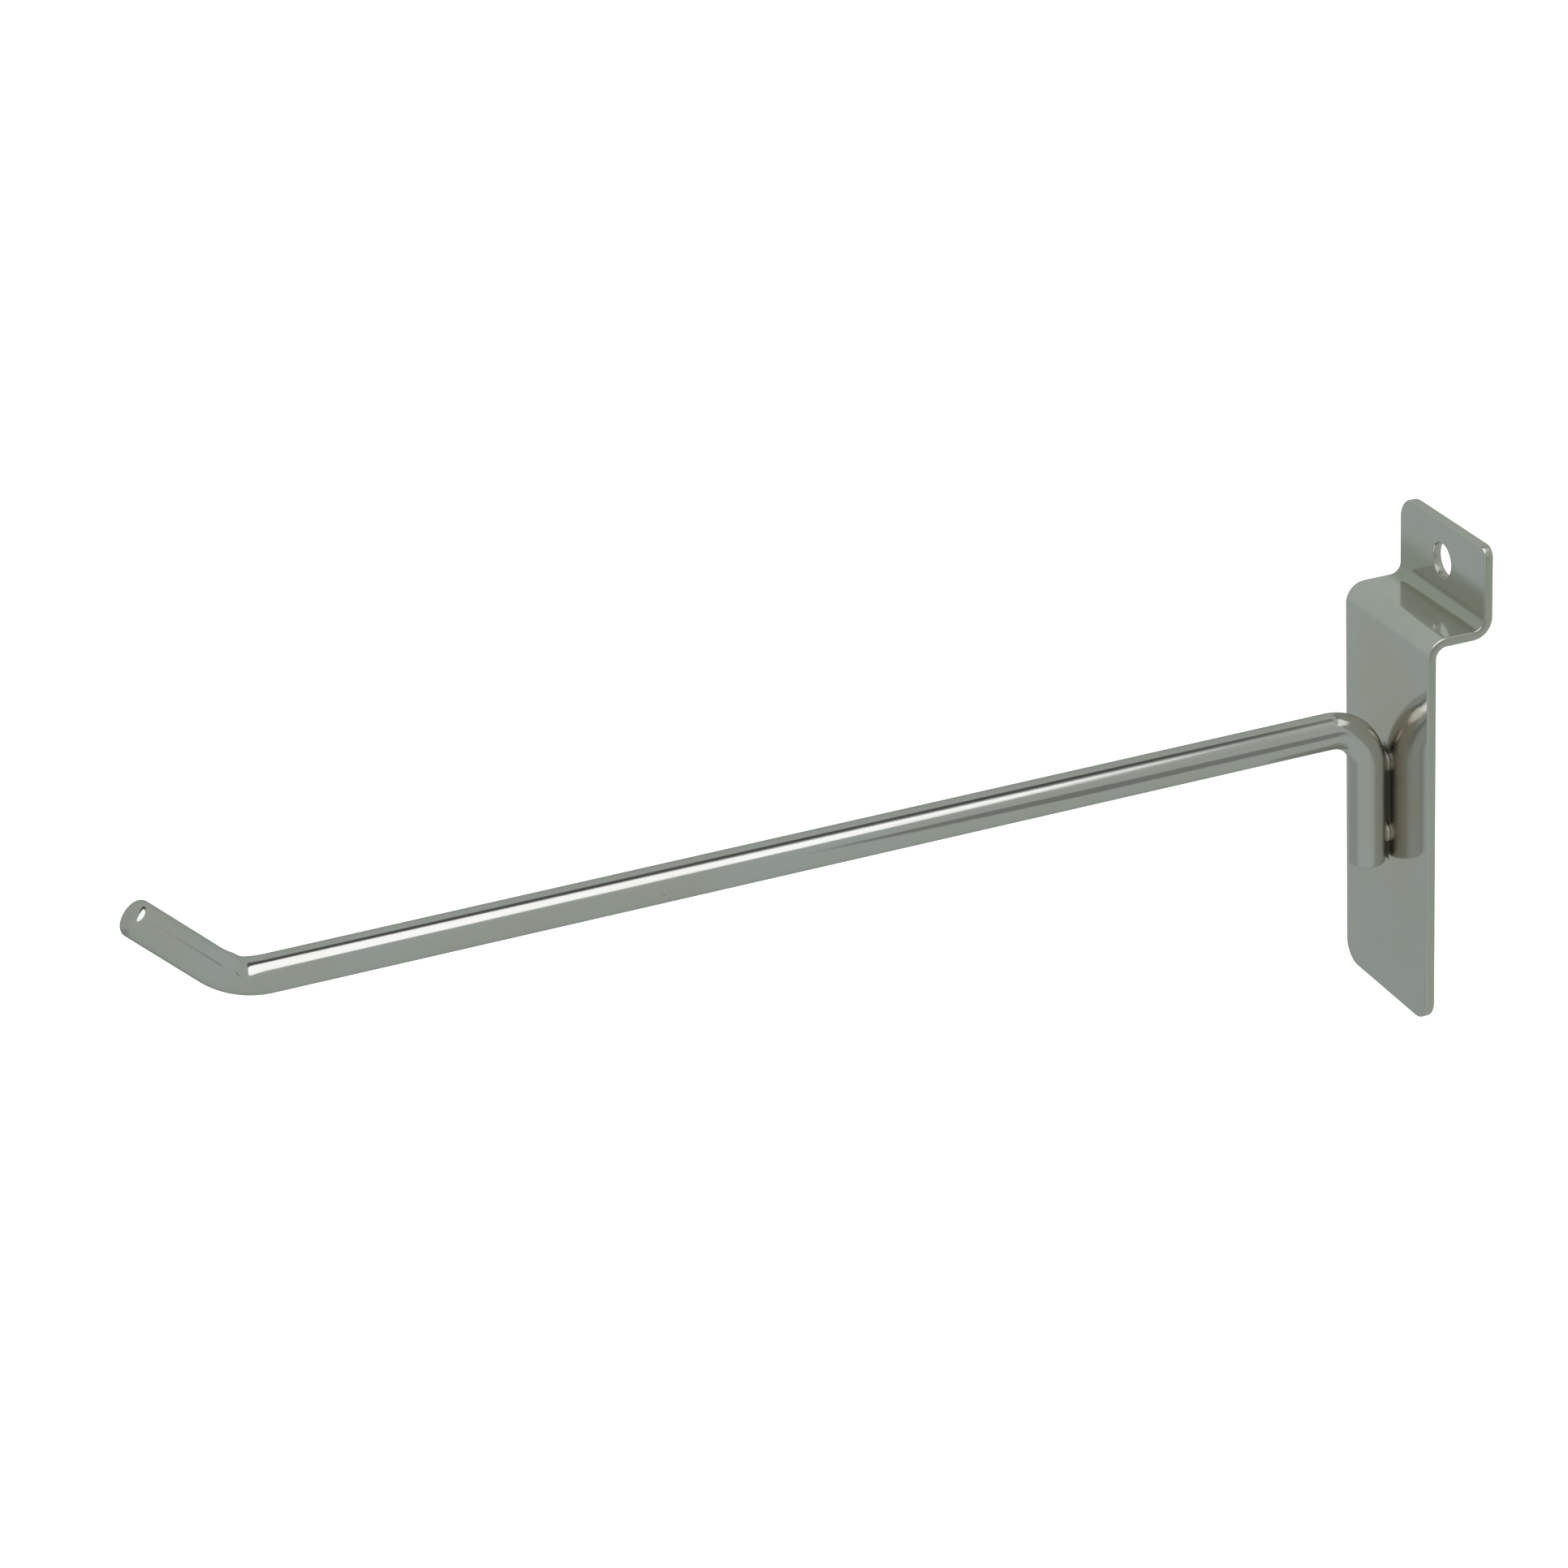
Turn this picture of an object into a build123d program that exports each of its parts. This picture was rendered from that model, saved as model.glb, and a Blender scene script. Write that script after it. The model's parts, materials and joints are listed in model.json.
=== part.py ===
from build123d import *
from math import cos, radians, sin
import os

# Slatwall hook: a round wire arm with an upturned tip, welded by its leg to a back plate that is
# folded from steel strip. The plate's tongue goes up behind the lip of a slatted wall panel, the
# shelf below it bridges the groove, and the plate's back bears on the face of the slat below.
# Millimetres. The origin is on the back face of the plate, at mid width and level with the arm's
# axis. The arm runs out from the wall along -Y, and +Z is up.

# Wire arm
wire_diameter = 6.0
arm_reach = 191.7  # front face of the plate to the corner point of the tip bend
tip_length = 20.2  # corner point of the tip bend to the end of the wire
tip_angle = 45.0  # rise of the tip above the arm, in degrees
tip_bend_inside = 9.5  # inside radius of the tip bend
leg_drop = 24.7  # arm's axis to the lower end of the leg
leg_bend_inside = 4.0  # inside radius of the bend from arm to leg
tip_end_round = 0.9  # rounding of the tip's free end
leg_end_round = 0.4  # rounding of the leg's cut end

# Back plate, one folded strip
sheet_thickness = 1.6
plate_width = 27.2
plate_drop = 49.5  # arm's axis to the lower edge
shelf_height = 18.6  # arm's axis to the upper face of the shelf
lip_gap = 8.4  # back face of the plate to the front face of the tongue
tongue_height = 13.7  # upper face of the shelf to the top of the tongue
fold_inside = 1.8  # inside radius of both folds
foot_corner_radius = 3.8
tongue_left_radius = 4.2  # tongue's corner on the -X side, which is cropped rounder than the other
tongue_right_radius = 1.8
hole_diameter = 5.6
hole_height = 6.9  # upper face of the shelf to the centre of the hole
hole_deburr = 0.3  # chamfer on both rims of the hole
edge_round = 0.3  # tumbled edges of the strip

# Resistance welds between the leg and the plate
weld_gap = 0.5  # front face of the plate to the nearest line of the leg
weld_width = 3.0
weld_height = 3.5
weld_draft = 12.0  # lean of the weld's sides towards the leg, in degrees
upper_weld_lead = 0.6  # foot of the bend to the centre of the upper weld
lower_weld_inset = 4.5  # lower end of the leg to the centre of the lower weld

# Places that follow from the sizes
wire_radius = wire_diameter / 2
plate_front = -sheet_thickness
leg_y = plate_front - weld_gap - wire_radius
tip_bend_y = plate_front - arm_reach
leg_bend_radius = leg_bend_inside + wire_radius
tip_bend_radius = tip_bend_inside + wire_radius
fold_outside = fold_inside + sheet_thickness
upper_weld_z = -leg_bend_radius - upper_weld_lead
lower_weld_z = -leg_drop + lower_weld_inset


def sharp_edges(solid):
    # Edges where two faces meet at an angle, which leaves out the lines where a flat runs into a fold
    faces = solid.faces()
    edges = ShapeList()
    for edge in solid.edges():
        middle = edge @ 0.5
        normals = [face.normal_at(middle) for face in faces if edge in face.edges()]
        if len(normals) == 2 and normals[0].get_angle(normals[1]) > 1:
            edges.append(edge)
    return edges


def corner_edges(sheet, end):
    # Edges through the sheet at its foot (0) or at its top (-1), from -X to +X
    return sheet.edges().filter_by(Axis.Y).group_by(Axis.Z)[end].sort_by(Axis.X)


def make_back_plate():
    # The strip's side view, folded back over the shelf and up again to the tongue
    shelf_under = shelf_height - sheet_thickness
    tongue_back = lip_gap + sheet_thickness
    tongue_top = shelf_height + tongue_height
    outline = (
        (plate_front, -plate_drop),
        (plate_front, shelf_height),
        (lip_gap, shelf_height),
        (lip_gap, tongue_top),
        (tongue_back, tongue_top),
        (tongue_back, shelf_under),
        (0, shelf_under),
        (0, -plate_drop),
    )
    corner_radii = (0, fold_outside, fold_inside, 0, 0, fold_outside, fold_inside, 0)
    with BuildPart() as plate:
        with BuildSketch(Plane.YZ):
            with BuildLine():
                FilletPolyline(outline, radius=corner_radii, close=True)
            make_face()
        extrude(amount=plate_width / 2, both=True)

        # Rounded corners at the foot of the plate and at the top of the tongue
        fillet(corner_edges(plate, 0), foot_corner_radius)
        fillet(corner_edges(plate, -1)[0], tongue_left_radius)
        fillet(corner_edges(plate, -1)[-1], tongue_right_radius)

        fillet(sharp_edges(plate.part), edge_round)

        # Pierced hole in the tongue
        with BuildSketch(Plane.XZ.offset(-lip_gap)):
            with Locations((0, shelf_height + hole_height)):
                Circle(hole_diameter / 2)
        extrude(amount=-sheet_thickness, mode=Mode.SUBTRACT)
        chamfer(plate.edges(Select.LAST).filter_by(GeomType.CIRCLE), hole_deburr)
    return plate.part


def make_wire_arm():
    # Up the leg, out along the arm and up the tip, on one bent axis
    tip_rise = radians(tip_angle)
    corners = (
        (leg_y, -leg_drop),
        (leg_y, 0),
        (tip_bend_y, 0),
        (tip_bend_y - tip_length * cos(tip_rise), tip_length * sin(tip_rise)),
    )
    with BuildPart() as arm:
        with BuildLine(Plane.YZ) as axis:
            FilletPolyline(corners, radius=(leg_bend_radius, tip_bend_radius))
        with BuildSketch(axis.line ^ 0):
            Circle(wire_radius)
        sweep()
        fillet(arm.faces().filter_by(GeomType.PLANE).sort_by(Axis.Y)[0].edges(), tip_end_round)
        fillet(arm.faces().filter_by(GeomType.PLANE).sort_by(Axis.Y)[-1].edges(), leg_end_round)
    return arm.part


def make_weld(height, arm):
    # A pad squeezed out between plate and leg, with a saddle where the round wire lies in it
    with BuildPart() as weld:
        with BuildSketch(Plane.XZ.offset(sheet_thickness)):
            with Locations((0, height)):
                Ellipse(weld_width / 2, weld_height / 2)
        extrude(amount=weld_gap + wire_radius, taper=weld_draft)
        add(arm, mode=Mode.SUBTRACT)
    return weld.part


back_plate = make_back_plate()
wire_arm = make_wire_arm()
pieces = {
    "back_plate": back_plate,
    "wire_arm": wire_arm,
    "upper_weld": make_weld(upper_weld_z, wire_arm),
    "lower_weld": make_weld(lower_weld_z, wire_arm),
}

os.makedirs("parts", exist_ok=True)
for name, piece in pieces.items():
    export_step(piece, f"parts/{name}.step")
    print(name, "volume", round(piece.volume, 2), "mm3")
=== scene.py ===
import json
import math
import bmesh
import bpy
from mathutils import Matrix, Vector, noise


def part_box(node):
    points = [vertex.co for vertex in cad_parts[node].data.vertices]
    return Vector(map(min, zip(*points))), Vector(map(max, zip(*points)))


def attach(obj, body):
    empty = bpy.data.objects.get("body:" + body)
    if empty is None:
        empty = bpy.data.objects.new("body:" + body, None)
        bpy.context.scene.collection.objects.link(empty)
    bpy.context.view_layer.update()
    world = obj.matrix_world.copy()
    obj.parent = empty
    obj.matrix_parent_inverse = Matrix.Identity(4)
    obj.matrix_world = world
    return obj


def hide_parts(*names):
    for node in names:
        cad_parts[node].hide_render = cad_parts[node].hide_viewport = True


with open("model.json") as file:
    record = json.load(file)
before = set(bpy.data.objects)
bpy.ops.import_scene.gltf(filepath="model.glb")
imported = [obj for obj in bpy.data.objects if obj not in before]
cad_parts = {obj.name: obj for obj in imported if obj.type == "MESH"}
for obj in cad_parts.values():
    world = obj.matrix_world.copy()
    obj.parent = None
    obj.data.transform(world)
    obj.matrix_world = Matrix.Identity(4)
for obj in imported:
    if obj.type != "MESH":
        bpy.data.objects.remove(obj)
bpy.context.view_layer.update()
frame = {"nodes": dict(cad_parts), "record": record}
mounts = {mount["name"]: mount for mount in frame["record"]["mounts"]}
wireRadius = mounts["arm_tip"]["dims"]["r_mm"] / 1000
sheetThickness = -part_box("back_plate")[0].y
mergeDistance = 1e-6
print("frame loaded:", ", ".join(sorted(frame["nodes"])))


def newParts(found, kind):
    return [part for part in found if isinstance(part, kind)]


# pull a row of edges out along a straight line, and give back the new row
def pullEdges(mesh, edges, shift):
    grown = bmesh.ops.extrude_edge_only(mesh, edges=edges)["geom"]
    verts = set(newParts(grown, bmesh.types.BMVert))
    bmesh.ops.translate(mesh, verts=list(verts), vec=shift)
    return [edge for edge in newParts(grown, bmesh.types.BMEdge) if set(edge.verts) <= verts]


# sweep a row of edges round a bend whose axis runs along X, and give back the new row
def bendEdges(mesh, edges, centre, angle, steps):
    row = list(edges) + list({vert for edge in edges for vert in edge.verts})
    swept = bmesh.ops.spin(mesh, geom=row, cent=(0, centre.x, centre.y), axis=(1, 0, 0), dvec=(0, 0, 0),
                           angle=angle, steps=steps, use_merge=False, use_normal_flip=False,
                           use_duplicate=False)
    return newParts(swept["geom_last"], bmesh.types.BMEdge)


# round a set of edges off
def roundEdges(mesh, edges, radius, segments):
    bmesh.ops.bevel(mesh, geom=edges, offset=radius, offset_type="OFFSET", segments=segments, profile=0.5,
                    affect="EDGES", material=-1)


# stock lies along a path in the YZ plane, with moves of (straight length, bend radius, degrees):
# a move is either straight or a bend, and a bend to the left has positive degrees
def walkPath(path):
    spot = Vector(path["start"])
    heading = math.radians(path["heading"])     # from +Y towards +Z
    along = 0.0
    for length, radius, degrees in path["moves"]:
        ahead = Vector((math.cos(heading), math.sin(heading)))
        left = Vector((-ahead.y, ahead.x))
        turn = math.radians(degrees)
        centre = spot + left * math.copysign(radius, degrees)
        yield spot, ahead, left, centre, turn, along
        heading += turn
        spot = spot + ahead * length
        if turn:
            spot = centre + Matrix.Rotation(turn, 2) @ (left * math.copysign(radius, -degrees))
        along += length + radius * abs(turn)


# form a row of edges along the whole path
def formStock(mesh, row, path):
    for move, (spot, ahead, left, centre, turn, along) in zip(path["moves"], walkPath(path)):
        if turn:
            row = bendEdges(mesh, row, centre, turn, round(abs(move[2]) / path["stepDegrees"]))
        else:
            row = pullEdges(mesh, row, (0, ahead.x * move[0], ahead.y * move[0]))
    return row


# where a point would lie if the stock were still straight: across it, out of it and along it
def straightPlace(point, path):
    best = (math.inf, 0, 0)
    for move, (spot, ahead, left, centre, turn, along) in zip(path["moves"], walkPath(path)):
        length, radius, degrees = move
        if turn:
            spoke = point.yz - centre
            start = spot - centre
            length = radius * abs(turn)
            reach = math.atan2(start.x * spoke.y - start.y * spoke.x, start.dot(spoke)) / turn * length
            out = (radius - spoke.length) * math.copysign(1, degrees)
        else:
            reach = (point.yz - spot).dot(ahead)
            out = (point.yz - spot).dot(left)
        miss = max(0.0, -reach, reach - length) + abs(out)
        best = min(best, (miss, out, along + reach))
    return Vector((point.x, best[1], best[2]))


# a finished bmesh becomes an object that rides on the hook and stands for its CAD node
def finishPiece(mesh, node, path=None):
    bmesh.ops.remove_doubles(mesh, verts=mesh.verts, dist=mergeDistance)
    bmesh.ops.recalc_face_normals(mesh, faces=mesh.faces)
    for face in mesh.faces:
        face.smooth = True
    straight = mesh.verts.layers.float_vector.new("straight")
    for vert in mesh.verts:
        vert[straight] = straightPlace(vert.co, path) if path else vert.co
    data = bpy.data.meshes.new(node + "_skin")
    mesh.to_mesh(data)
    mesh.free()
    piece = bpy.data.objects.new(node + "_skin", data)
    bpy.context.scene.collection.objects.link(piece)
    piece.modifiers.new("evenShading", "WEIGHTED_NORMAL")
    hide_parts(node)
    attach(piece, "root")
    print(piece.name, len(data.polygons), "faces")
    return piece


# Wire arm: leg, arm and upturned tip from one length of round wire
wire = {
    "legBend": 0.0070,        # bend radii at the middle of the wire
    "tipBend": 0.0125,
    "tipAngle": 45.0,
    "tipRound": 0.0012,       # rounding of the tip's free end and of the leg's cut end
    "legRound": 0.0004,
    "creaseAt": 20.0,         # the inside of the tip bend stays straight up to a crease, in degrees
    "creaseEnd": 33.0,
    "creaseSide": (-0.2, 0.7),      # heights over the wire's middle where it begins and is full, in radii
    "creaseNear": -0.6,       # where it begins to grow towards the near side, in radii
    "creaseFar": 0.4,         # how much of it there is on the far side
    "ring": 96,               # faces round the wire
    "stepDegrees": 1.875,
    "endSegments": 8,
}


def smoothShare(value):
    share = min(1.0, max(0.0, value))
    return share * share * (3 - 2 * share)


# press the inside of the tip bend down to a straight line that ends in a crease
def creaseBend(mesh, centre):
    begin, full = wire["creaseSide"]
    for vert in mesh.verts:
        spoke = vert.co.yz - centre
        turned = math.degrees(math.atan2(-spoke.x, -spoke.y))
        inside = (wire["tipBend"] - spoke.length) / wireRadius
        if inside <= begin or not 0 < turned < wire["creaseEnd"]:
            continue
        longer = 1 / math.cos(math.radians(min(turned, wire["creaseAt"]))) - 1
        past = max(0.0, turned - wire["creaseAt"]) / (wire["creaseEnd"] - wire["creaseAt"])
        share = (1 + math.cos(math.pi * past)) / 2
        side = smoothShare((inside - begin) / (full - begin))
        near = smoothShare(vert.co.x / wireRadius - wire["creaseNear"])
        push = spoke * longer * share * side * (wire["creaseFar"] + (1 - wire["creaseFar"]) * near)
        vert.co += Vector((0, push.x, push.y))


def makeWireArm():
    low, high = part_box("wire_arm")
    legY = high.y - wireRadius
    rise = math.radians(wire["tipAngle"])
    # the tip's end is rounded, so the box meets it where that rounding is furthest out
    rim = wireRadius - wire["tipRound"]
    tipHigh = high.z - rim * math.cos(rise) - wire["tipRound"] * (1 - math.sin(rise))
    tipLength = tipHigh / math.sin(rise)
    tipOut = low.y + rim * math.sin(rise) + wire["tipRound"] * (1 - math.cos(rise))
    tipCorner = tipOut + tipLength * math.cos(rise)
    tipTangent = wire["tipBend"] * math.tan(rise / 2)
    bendStart = tipCorner + tipTangent
    path = {
        "start": (legY, low.z),
        "heading": 90.0,
        "stepDegrees": wire["stepDegrees"],
        "moves": (
            (-wire["legBend"] - low.z, 0, 0),
            (0, wire["legBend"], 90.0),
            (legY - wire["legBend"] - bendStart, 0, 0),
            (0, wire["tipBend"], -wire["tipAngle"]),
            (tipLength - tipTangent, 0, 0),
        ),
    }

    mesh = bmesh.new()
    bmesh.ops.create_circle(mesh, segments=wire["ring"], radius=wireRadius, cap_ends=True,
                            matrix=Matrix.Translation((0, legY, low.z)))
    legRim = list(mesh.edges)
    tipRim = formStock(mesh, legRim, path)
    bmesh.ops.contextual_create(mesh, geom=tipRim)
    roundEdges(mesh, tipRim, wire["tipRound"], wire["endSegments"])
    roundEdges(mesh, [edge for edge in legRim if edge.is_valid], wire["legRound"], wire["endSegments"])
    creaseBend(mesh, Vector((bendStart, wire["tipBend"])))
    return finishPiece(mesh, "wire_arm", path)


# Back plate: one strip, up the front, back over the shelf and up again to the tongue
plate = {
    "shelfHeight": 0.0186,     # upper face of the shelf
    "lipGap": 0.0084,          # back of the plate to the front of the tongue
    "foldInside": 0.0018,
    "footCorner": 0.0038,
    "tongueLeftCorner": 0.0042,
    "tongueRightCorner": 0.0018,
    "holeCell": 0.0046,        # half of the square that the hole is set in
    "edgeRound": 0.0003,
    "sharpAngle": 60.0,        # edges sharper than this are rounded, in degrees
    "stepDegrees": 3.75,
    "cornerSegments": 20,
    "holeSide": 24,            # faces along a quarter of the hole
    "edgeSegments": 5,
}


def makeBackPlate():
    low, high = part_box("back_plate")
    foldOutside = plate["foldInside"] + sheetThickness
    cell = plate["holeCell"]
    holeMiddle = Vector((0, plate["lipGap"], mounts["tongue_hole"]["pos_m"][2]))
    holeRadius = mounts["tongue_hole"]["dims"]["r_mm"] / 1000
    path = {
        "start": (low.y, low.z),
        "heading": 90.0,
        "stepDegrees": plate["stepDegrees"],
        "moves": (
            (plate["shelfHeight"] - foldOutside - low.z, 0, 0),
            (0, foldOutside, -90.0),
            (plate["lipGap"] - plate["foldInside"] - low.y - foldOutside, 0, 0),
            (0, plate["foldInside"], 90.0),
            (high.z - plate["shelfHeight"] - plate["foldInside"], 0, 0),
        ),
    }

    # front skin, from the foot upwards
    mesh = bmesh.new()
    foot = bmesh.ops.create_vert(mesh, co=(low.x, low.y, low.z))["vert"][0]
    row = []
    for reach in (-cell, cell, high.x):
        grown = bmesh.ops.extrude_vert_indiv(mesh, verts=[foot])
        foot = grown["verts"][0]
        foot.co.x = reach
        row += grown["edges"]
    formStock(mesh, row, path)

    # hole: a square in the middle of the tongue is drawn in to the round rim
    for level in (holeMiddle.z - cell, holeMiddle.z + cell):
        strip = min(mesh.faces, key=lambda face: (face.calc_center_median() - holeMiddle).length)
        bmesh.ops.bisect_plane(mesh, geom=[strip] + list(strip.edges) + list(strip.verts),
                               dist=mergeDistance, plane_co=(0, 0, level), plane_no=(0, 0, 1))
    square = min(mesh.faces, key=lambda face: (face.calc_center_median() - holeMiddle).length)
    sides = list(square.edges)
    bmesh.ops.delete(mesh, geom=[square], context="FACES_ONLY")
    cut = bmesh.ops.subdivide_edges(mesh, edges=sides, cuts=plate["holeSide"] - 1)
    sides = [edge for edge in newParts(cut["geom"], bmesh.types.BMEdge) if edge.is_boundary]
    rim = bmesh.ops.extrude_edge_only(mesh, edges=sides)["geom"]
    for vert in newParts(rim, bmesh.types.BMVert):
        vert.co = holeMiddle + (vert.co - holeMiddle).normalized() * holeRadius

    # corners of the foot and of the tongue
    corners = (
        ((low.x, low.y, low.z), plate["footCorner"]),
        ((high.x, low.y, low.z), plate["footCorner"]),
        ((low.x, plate["lipGap"], high.z), plate["tongueLeftCorner"]),
        ((high.x, plate["lipGap"], high.z), plate["tongueRightCorner"]),
    )
    for place, radius in corners:
        corner = min(mesh.verts, key=lambda vert: (vert.co - Vector(place)).length)
        bmesh.ops.bevel(mesh, geom=[corner], offset=radius, offset_type="OFFSET", profile=0.5,
                        segments=plate["cornerSegments"], affect="VERTICES", material=-1)

    # thickness behind the skin, then the tumbled edges
    bmesh.ops.recalc_face_normals(mesh, faces=mesh.faces)
    front = min(mesh.faces, key=lambda face: face.calc_center_median().z)
    if front.normal.y > 0:
        bmesh.ops.reverse_faces(mesh, faces=mesh.faces)
    bmesh.ops.solidify(mesh, geom=list(mesh.faces), thickness=sheetThickness)
    sharp = [edge for edge in mesh.edges if len(edge.link_faces) == 2
             and edge.calc_face_angle() > math.radians(plate["sharpAngle"])]
    roundEdges(mesh, sharp, plate["edgeRound"], plate["edgeSegments"])
    return finishPiece(mesh, "back_plate", path)


# Welds: two pads squeezed out between the plate and the leg
weld = {
    "ring": 72,            # faces round a pad
    "rows": 12,            # from the plate to the wire
    "waist": 0.90,         # half way up, as a share of the foot
    "crown": 0.97,         # where the wire lies in it
    "sink": 0.00002,       # how far its rim goes into the wire
    "lump": 0.08,          # ripples and spatter on its sides, as a share of its width
    "lumpScale": 1500.0,
}


def makeWeld(node):
    low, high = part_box(node)
    middle = (low + high) / 2
    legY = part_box("wire_arm")[1].y - wireRadius

    # the wire's surface above a place on the plate, on the leg or where it begins to bend away
    def wireSurface(x, z):
        bent = max(0.0, z + wire["legBend"])
        reach = wire["legBend"] + math.sqrt(wireRadius ** 2 - x ** 2)
        return legY - wire["legBend"] + math.sqrt(reach ** 2 - bent ** 2) - weld["sink"]

    mesh = bmesh.new()
    place = Matrix.Translation((middle.x, high.y, middle.z)) @ Matrix.Rotation(math.pi / 2, 4, "X")
    size = Matrix.Diagonal(((high.x - low.x) / 2, (high.z - low.z) / 2, 1, 1))
    bmesh.ops.create_circle(mesh, segments=weld["ring"], radius=1, cap_ends=True, matrix=place @ size)
    row = list(mesh.edges)
    width = 1.0
    for level in range(1, weld["rows"] + 1):
        share = level / weld["rows"]
        belly = math.sin(math.pi * share)
        newWidth = 1 + (weld["crown"] - 1) * share - (1 - weld["waist"]) * belly
        row = pullEdges(mesh, row, (0, 0, 0))
        for vert in {vert for edge in row for vert in edge.verts}:
            lump = 1 - weld["lump"] * belly * noise.noise(vert.co * weld["lumpScale"]) / weld["rows"]
            x = middle.x + (vert.co.x - middle.x) * lump * newWidth / width
            z = middle.z + (vert.co.z - middle.z) * lump * newWidth / width
            vert.co = (x, high.y + (wireSurface(x, z) - high.y) * share, z)
        width = newWidth
    bmesh.ops.contextual_create(mesh, geom=row)
    return finishPiece(mesh, node)


wireArm = makeWireArm()
backPlate = makeBackPlate()
welds = {node: makeWeld(node) for node in ("upper_weld", "lower_weld")}


# add a node, set its options, and fill in or link its inputs
def addNode(tree, kind, options=None, inputs=None):
    node = tree.nodes.new("ShaderNode" + kind)
    for name, value in (options or {}).items():
        setattr(node, name, value)
    for name, value in (inputs or {}).items():
        if isinstance(value, bpy.types.NodeSocket):
            tree.links.new(value, node.inputs[name])
        else:
            node.inputs[name].default_value = value
    return node


def addMath(tree, operation, first, second=0.0):
    return addNode(tree, "Math", {"operation": operation}, {0: first, 1: second}).outputs[0]


# a smooth step from 0 to 1 while a value goes from start to end, either way round
def addStep(tree, value, start, end):
    step = addNode(tree, "MapRange", {"interpolation_type": "SMOOTHSTEP"},
                   {"Value": value, "From Min": min(start, end), "From Max": max(start, end),
                    "To Min": float(start > end), "To Max": float(start < end)})
    return step.outputs["Result"]


# a straight run from low to high while a value goes from start to end
def addRange(tree, value, start, end, low, high):
    return addNode(tree, "MapRange", inputs={"Value": value, "From Min": start, "From Max": end,
                                             "To Min": low, "To Max": high}).outputs["Result"]


def addBlend(tree, factor, first, second):
    return addNode(tree, "Mix", {"data_type": "RGBA"}, {0: factor, 6: first, 7: second}).outputs[2]


def addNoise(tree, place, scale, detail):
    return addNode(tree, "TexNoise", inputs={"Vector": place, "Scale": scale, "Detail": detail}).outputs[0]


def newGroup(name, inputs, outputs):
    group = bpy.data.node_groups.new(name, "ShaderNodeTree")
    for label, kind in inputs:
        group.interface.new_socket(label, in_out="INPUT", socket_type="NodeSocket" + kind)
    for label in outputs:
        group.interface.new_socket(label, in_out="OUTPUT", socket_type="NodeSocketFloat")
    return group, group.nodes.new("NodeGroupInput").outputs, group.nodes.new("NodeGroupOutput").inputs


def newMaterial(name):
    material = bpy.data.materials.new(name)
    material.use_nodes = True
    material.node_tree.nodes.clear()
    return material


# Plating grain: broad clouds, lines drawn along the stock, orange peel and pin holes
grain = {
    "cloudScale": 60.0,
    "cloudDetail": 3.0,
    "cloudRange": (0.30, 0.70),     # noise where the clouds begin and are full
    "lineStretch": (1.0, 1.0, 0.01),
    "lineDetail": 2.0,
    "lineRange": (0.35, 0.65),      # noise where the lines are smoothest and dullest
    "peelScale": 850.0,
    "peelDetail": 1.0,
    "pitScale": 420.0,
    "pitRange": (0.52, 0.62),       # noise of the clouds that hold pin holes
    "pitSize": 0.07,          # share of a cell
    "lineHeight": 0.35,       # share of the peel's height
    "pitDepth": 1.5,
}


def makeGrain():
    group, given, result = newGroup("platingGrain", (("Straight", "Vector"), ("Line Scale", "Float")),
                                    ("Cloud", "Lines", "Pits", "Height"))
    cloud = addNoise(group, given["Straight"], grain["cloudScale"], grain["cloudDetail"])
    drawn = addNode(group, "VectorMath", {"operation": "MULTIPLY"},
                    {0: given["Straight"], 1: grain["lineStretch"]}).outputs[0]
    lines = addNoise(group, drawn, given["Line Scale"], grain["lineDetail"])
    peel = addNoise(group, given["Straight"], grain["peelScale"], grain["peelDetail"])
    cells = addNode(group, "TexVoronoi", inputs={"Vector": given["Straight"], "Scale": grain["pitScale"]})
    holes = addStep(group, cells.outputs["Distance"], grain["pitSize"], grain["pitSize"] / 2)
    pits = addMath(group, "MULTIPLY", holes, addStep(group, cloud, *grain["pitRange"]))
    height = addMath(group, "ADD", peel, addMath(group, "MULTIPLY", lines, grain["lineHeight"]))
    height = addMath(group, "SUBTRACT", height, addMath(group, "MULTIPLY", pits, grain["pitDepth"]))
    group.links.new(addStep(group, cloud, *grain["cloudRange"]), result["Cloud"])
    group.links.new(lines, result["Lines"])
    group.links.new(pits, result["Pits"])
    group.links.new(height, result["Height"])
    return group


# Weld marks: warm tint and dull plating round the welds, and painted shade in the crevice between the leg
# and the plate
heat = {
    "tintTop": (0.020, 0.000),     # heights where the marks begin and are full, from above
    "dullTop": (0.000, -0.006),
    "foot": (-0.034, -0.020),      # and from below
    "back": (-0.0004, -0.0014),    # on the plate, they lie on the front
    "dullFront": (-0.0080, -0.0058),
    "dullSide": (0.0120, 0.0035),
    "tintFront": (-0.0042, -0.0024),
    "tintSide": (0.0130, 0.0040),
    "creviceSide": (0.0014, 0.0006),
    "creviceTop": (-0.0035, -0.0055),
    "creviceFoot": (-0.0252, -0.0246),
    "streakScale": 240.0,
    "streakDetail": 2.0,
    "streakRange": (0.10, 0.65),
}


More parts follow.
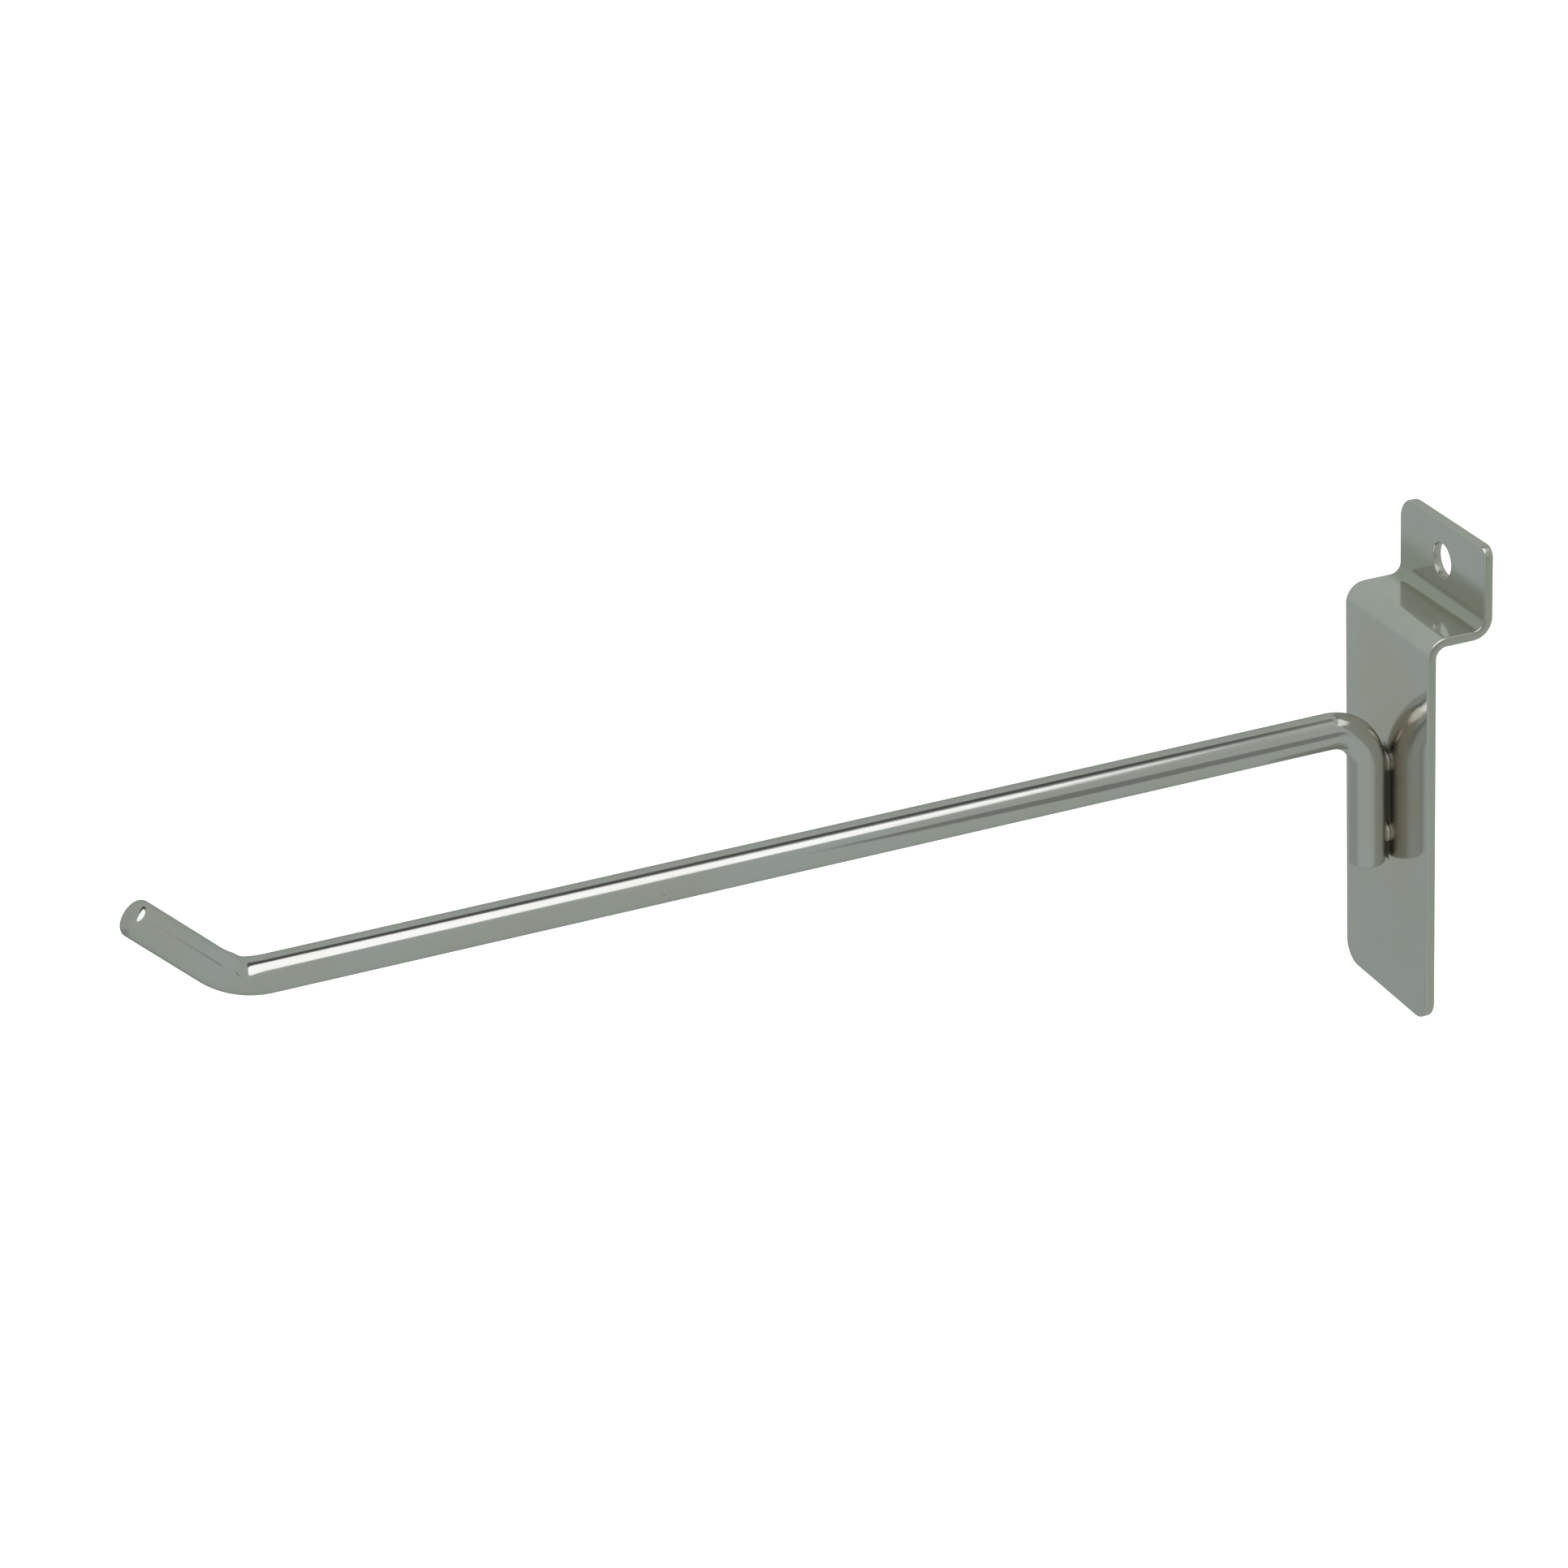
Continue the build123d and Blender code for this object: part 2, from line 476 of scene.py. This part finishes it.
def makeHeat():
    group, given, result = newGroup("weldMarksAndCreviceShade", (("Place", "Vector"),), ("Dull", "Tint", "Crevice Shade"))
    axes = addNode(group, "SeparateXYZ", inputs={0: given["Place"]}).outputs
    aside = addMath(group, "ABSOLUTE", axes["X"])

    def addMask(steps):
        mask = addStep(group, axes["Y"], *heat["back"])
        for value, step in steps:
            mask = addMath(group, "MULTIPLY", mask, addStep(group, value, *step))
        return mask

    dull = addMask(((axes["Z"], heat["dullTop"]), (axes["Z"], heat["foot"]),
                    (axes["Y"], heat["dullFront"]), (aside, heat["dullSide"])))
    streaks = addNoise(group, given["Place"], heat["streakScale"], heat["streakDetail"])
    tint = addMask(((axes["Z"], heat["tintTop"]), (axes["Z"], heat["foot"]),
                    (axes["Y"], heat["tintFront"]), (aside, heat["tintSide"]),
                    (streaks, heat["streakRange"])))
    # painted shade: the plate's face behind the leg, between the welds
    crevice = addMask(((axes["Z"], heat["creviceTop"]), (axes["Z"], heat["creviceFoot"]),
                       (aside, heat["creviceSide"])))
    group.links.new(dull, result["Dull"])
    group.links.new(tint, result["Tint"])
    group.links.new(crevice, result["Crevice Shade"])
    return group


# Chrome: one plating over wire, strip and welds, each with its own grain
chrome = {
    "heatColour": (0.68, 0.59, 0.49, 1),
    "pitColour": (0.35, 0.34, 0.30, 1),
    "wire": {"clear": (0.635, 0.626, 0.596, 1), "cloudy": (0.612, 0.597, 0.551, 1), "lineScale": 5200.0,
             "roughness": (0.10, 0.16), "peel": 1.2e-6, "heat": 0.1, "dull": 0.30,
             "slant": (0.73, 0.73, 0.73, 1)},       # share of full mirroring at a slant
    "strip": {"clear": (0.683, 0.683, 0.645, 1), "cloudy": (0.658, 0.650, 0.597, 1), "lineScale": 4200.0,
              "roughness": (0.09, 0.13), "peel": 1.6e-6, "heat": 0.6, "dull": 0.22,
              "slant": (1, 1, 1, 1)},
    "lower_weld": {"clear": (0.612, 0.605, 0.555, 1), "cloudy": (0.560, 0.545, 0.480, 1),
                   "lineScale": 1600.0, "roughness": (0.48, 0.60), "peel": 9.0e-6, "heat": 0.3, "dull": 0.5,
                   "slant": (1, 1, 1, 1)},
}
# the upper weld lies deeper in its corner, so its colours are darkened as painted shade
chrome["upper_weld"] = dict(chrome["lower_weld"], clear=(0.415, 0.410, 0.370, 1),
                            cloudy=(0.380, 0.370, 0.320, 1), heat=0.2)

# Strip: its sheared edges, painted shade in the fold under the tongue and painted shade in the crevice
# between the leg and the plate
sheet = {
    "reach": (0.00006, 0.00030),        # depth under its faces where the sheared edge begins and is full
    "edgeColour": (0.60, 0.585, 0.510, 1),
    "edgeRoughness": 0.30,
    "foldShadeFront": (-0.00112, -0.00048),  # where the painted fold shade begins and is full: through the sheet,
    "foldShadeBack": (0.0050, 0.0072),       # from the wall's face to the tongue
    "foldShadeHigh": (0.0270, 0.0225),       # and down from the hole
    # colour of the painted shade in the fold under the tongue
    "foldShadeColour": (0.500, 0.500, 0.430, 1),
    # painted shade in the crevice between the leg and the plate
    "creviceShadeColour": (0.100, 0.088, 0.055, 1),
    "creviceRoughness": 0.45,
}


# lay the strip's sheared edges, and its painted shade in the fold and the crevice, over a colour, and give
# back what each does to the roughness
def addStripMarks(tree, colour, straight, place, crevice):
    out = addNode(tree, "SeparateXYZ", inputs={0: straight}).outputs["Y"]
    middle = addMath(tree, "ABSOLUTE", addMath(tree, "ADD", out, sheetThickness / 2))
    depth = addMath(tree, "SUBTRACT", sheetThickness / 2, middle)
    edge = addStep(tree, depth, *sheet["reach"])
    axes = addNode(tree, "SeparateXYZ", inputs={0: place}).outputs
    # painted shade: the front of the fold under the tongue is darkened
    foldShade = addStep(tree, out, *sheet["foldShadeFront"])
    foldShade = addMath(tree, "MULTIPLY", foldShade, addStep(tree, axes["Y"], *sheet["foldShadeBack"]))
    foldShade = addMath(tree, "MULTIPLY", foldShade, addStep(tree, axes["Z"], *sheet["foldShadeHigh"]))
    colour = addBlend(tree, foldShade, colour, sheet["foldShadeColour"])
    colour = addBlend(tree, edge, colour, sheet["edgeColour"])
    # painted shade: the crevice between the leg and the plate is darkened
    colour = addBlend(tree, crevice, colour, sheet["creviceShadeColour"])
    return colour, [(edge, sheet["edgeRoughness"]), (crevice, sheet["creviceRoughness"])]


def makeChrome(name, look, grainGroup, heatGroup):
    material = newMaterial(name)
    tree = material.node_tree
    straight = addNode(tree, "Attribute", {"attribute_name": "straight"}).outputs["Vector"]
    place = addNode(tree, "TexCoord").outputs["Object"]
    plating = addNode(tree, "Group", {"node_tree": grainGroup},
                      {"Straight": straight, "Line Scale": look["lineScale"]}).outputs
    marks = addNode(tree, "Group", {"node_tree": heatGroup}, {"Place": place}).outputs

    colour = addBlend(tree, plating["Cloud"], look["clear"], look["cloudy"])
    colour = addBlend(tree, plating["Pits"], colour, chrome["pitColour"])
    warm = addMath(tree, "MULTIPLY", marks["Tint"], look["heat"])
    colour = addBlend(tree, warm, colour, chrome["heatColour"])
    roughness = addRange(tree, plating["Lines"], *grain["lineRange"], *look["roughness"])
    layers = [(marks["Dull"], look["dull"])]
    if look is chrome["strip"]:
        colour, stripLayers = addStripMarks(tree, colour, straight, place, marks["Crevice Shade"])
        layers += stripLayers
    for mask, amount in layers:
        roughness = addMath(tree, "MAXIMUM", roughness, addMath(tree, "MULTIPLY", mask, amount))
    bump = addNode(tree, "Bump", inputs={"Strength": 1.0, "Distance": look["peel"],
                                         "Height": plating["Height"]}).outputs["Normal"]
    shader = addNode(tree, "BsdfPrincipled", inputs={"Base Color": colour, "Metallic": 1.0,
                                                     "Roughness": roughness, "Specular Tint": look["slant"],
                                                     "Normal": bump})
    addNode(tree, "OutputMaterial", inputs={"Surface": shader.outputs["BSDF"]})
    return material


grainGroup = makeGrain()
heatGroup = makeHeat()
wireArm.data.materials.append(makeChrome("wireChrome", chrome["wire"], grainGroup, heatGroup))
backPlate.data.materials.append(makeChrome("stripChrome", chrome["strip"], grainGroup, heatGroup))
for node, pad in welds.items():
    pad.data.materials.append(makeChrome(node + "Chrome", chrome[node], grainGroup, heatGroup))
print("materials made")

# Studio: an eight-sided softbox overhead with a dark rim, two flags, a grey surround and a pale floor
studio = {
    "surround": (0.433, 0.487, 0.461, 1),      # what the chrome mirrors all round
    # its darker sides: where to, cosines where each begins and is full, and how much light is left there
    "shades": (((-0.418, -0.787, -0.454), (0.780, 0.961), (0.76, 0.76, 0.79)),
               ((-0.689, -0.278, -0.669), (0.927, 0.996), (0.80, 0.80, 0.80))),
    "fill": (0.92, 0.92, 0.92, 1),             # what lights the floor and all that is matte
    "boxMiddle": (1.02, -0.715, 2.0),
    "boxHalf": (1.488, 1.715),
    "boxSides": 8,
    "boxColour": (0.93, 0.955, 0.98, 1),
    "boxGlow": 1.60,
    "rim": 1.05,                               # as a share of the softbox
    "rimColour": (0.28, 0.29, 0.28, 1),
    "topFlag": ((0.10, 0.95), (-0.28, 0.0), (-0.35, -1.4), (-1.05, -1.4), (-1.00, 0.0), (-0.70, 0.95)),
    "topFlagHeight": 1.99,
    "topFlagColour": (0.080, 0.083, 0.085, 1),
    "sideFlag": ((-0.050, 0.030), (-0.047, 0.005), (-0.025, -0.030), (0.008, -0.060), (0.060, -0.048),
                 (0.085, 0.000), (0.075, 0.025), (-0.020, 0.036)),
    "sideFlagAway": 0.15,
    "sideFlagColour": (0.235, 0.250, 0.245, 1),
    "floorHeight": -0.25,
    "floorHalf": 4.0,
    "floorColour": (0.80, 0.80, 0.80, 1),
    "floorLift": (0.45, 0.80),                 # under the hook and far away from it
    "floorReach": (0.2, 1.4),
}


def newStage(name, mesh, material):
    data = bpy.data.meshes.new(name)
    mesh.to_mesh(data)
    mesh.free()
    data.materials.append(material)
    piece = bpy.data.objects.new(name, data)
    bpy.context.scene.collection.objects.link(piece)
    return piece


def makeGlow(name, colour, strength):
    material = newMaterial(name)
    glow = addNode(material.node_tree, "Emission", inputs={"Color": colour, "Strength": strength})
    addNode(material.node_tree, "OutputMaterial", inputs={"Surface": glow.outputs["Emission"]})
    return material


# a dark card that only shows in the chrome
def makeFlag(name, mesh, colour):
    flag = newStage(name, mesh, makeGlow(name, colour, 1.0))
    flag.visible_camera = False
    flag.visible_diffuse = False
    flag.visible_shadow = False


def makeWorld():
    world = bpy.data.worlds.new("studio")
    bpy.context.scene.world = world
    world.use_nodes = True
    tree = world.node_tree
    tree.nodes.clear()
    toward = addNode(tree, "TexCoord").outputs["Generated"]
    surround = studio["surround"]
    for shade, reach, left in studio["shades"]:
        facing = addNode(tree, "VectorMath", {"operation": "DOT_PRODUCT"},
                         {0: toward, 1: Vector(shade).normalized()}).outputs["Value"]
        darker = [full * share for full, share in zip(studio["surround"], left)] + [1]
        surround = addBlend(tree, addStep(tree, facing, *reach), surround, darker)
    path = addNode(tree, "LightPath").outputs
    seen = addBlend(tree, path["Is Glossy Ray"], studio["fill"], surround)
    seen = addBlend(tree, path["Is Camera Ray"], seen, (1, 1, 1, 1))
    background = addNode(tree, "Background", inputs={"Color": seen, "Strength": 1.0})
    addNode(tree, "OutputWorld", inputs={"Surface": background.outputs["Background"]})


def makeSoftbox():
    middle = Matrix.Translation(studio["boxMiddle"])
    size = Matrix.Diagonal((studio["boxHalf"][0], studio["boxHalf"][1], 1, 1))
    place = middle @ size @ Matrix.Rotation(math.pi / studio["boxSides"], 4, "Z")
    mesh = bmesh.new()
    bmesh.ops.create_circle(mesh, segments=studio["boxSides"], radius=1, cap_ends=True, matrix=place)
    softbox = newStage("softbox", mesh, makeGlow("softboxCloth", studio["boxColour"], studio["boxGlow"]))
    softbox.visible_camera = False

    mesh = bmesh.new()
    bmesh.ops.create_circle(mesh, segments=studio["boxSides"], radius=1, cap_ends=False, matrix=place)
    outer = bmesh.ops.extrude_edge_only(mesh, edges=mesh.edges)["geom"]
    bmesh.ops.scale(mesh, verts=newParts(outer, bmesh.types.BMVert), vec=(studio["rim"], studio["rim"], 1),
                    space=middle.inverted())
    makeFlag("softboxRim", mesh, studio["rimColour"])


def makeFlags():
    mesh = bmesh.new()
    mesh.faces.new([mesh.verts.new((x, y, studio["topFlagHeight"])) for x, y in studio["topFlag"]])
    makeFlag("topFlag", mesh, studio["topFlagColour"])

    mesh = bmesh.new()
    mesh.faces.new([mesh.verts.new((studio["sideFlagAway"], y, z)) for y, z in studio["sideFlag"]])
    makeFlag("sideFlag", mesh, studio["sideFlagColour"])


# floor: the camera sees it as white as the surround, apart from shadows
def makeFloor():
    material = newMaterial("paleFloor")
    tree = material.node_tree
    place = addNode(tree, "TexCoord").outputs["Object"]
    away = addNode(tree, "VectorMath", {"operation": "LENGTH"}, {0: place}).outputs["Value"]
    far = addStep(tree, away, *studio["floorReach"])
    strength = addRange(tree, far, 0.0, 1.0, *studio["floorLift"])
    paint = addNode(tree, "BsdfDiffuse", inputs={"Color": studio["floorColour"]}).outputs["BSDF"]
    lift = addNode(tree, "Emission", inputs={"Strength": strength}).outputs["Emission"]
    lifted = addNode(tree, "AddShader", inputs={0: paint, 1: lift}).outputs["Shader"]
    cameraRay = addNode(tree, "LightPath").outputs["Is Camera Ray"]
    seen = addNode(tree, "MixShader", inputs={0: cameraRay, 1: paint, 2: lifted})
    addNode(tree, "OutputMaterial", inputs={"Surface": seen.outputs["Shader"]})
    mesh = bmesh.new()
    bmesh.ops.create_grid(mesh, x_segments=1, y_segments=1, size=studio["floorHalf"],
                          matrix=Matrix.Translation((0, 0, studio["floorHeight"])))
    floor = newStage("floor", mesh, material)
    floor.visible_glossy = False


makeWorld()
makeSoftbox()
makeFlags()
makeFloor()
print("studio set")

# Camera: placed by the outline in the photo
view = {
    "target": (0, -0.105373, 0.012047),
    "azimuth": 69.728,
    "elevation": 25.226,
    "roll": -3.605,
    "distance": 0.681929,
    "lens": 102.64,
    "sensor": 36.0,
}


def makeCamera():
    camera = bpy.data.objects.new("photoCamera", bpy.data.cameras.new("photoCamera"))
    bpy.context.scene.collection.objects.link(camera)
    turn = (Matrix.Rotation(math.radians(view["azimuth"]), 4, "Z")
            @ Matrix.Rotation(math.radians(90 - view["elevation"]), 4, "X")
            @ Matrix.Rotation(math.radians(view["roll"]), 4, "Z"))
    back = turn.to_3x3() @ Vector((0, 0, view["distance"]))
    camera.matrix_world = Matrix.Translation(Vector(view["target"]) + back) @ turn
    camera.data.lens = view["lens"]
    camera.data.sensor_width = view["sensor"]
    bpy.context.scene.camera = camera
    return camera


camera = makeCamera()
print("camera at", tuple(round(value, 4) for value in camera.matrix_world.translation))
bpy.context.scene.view_settings.view_transform = "Standard"
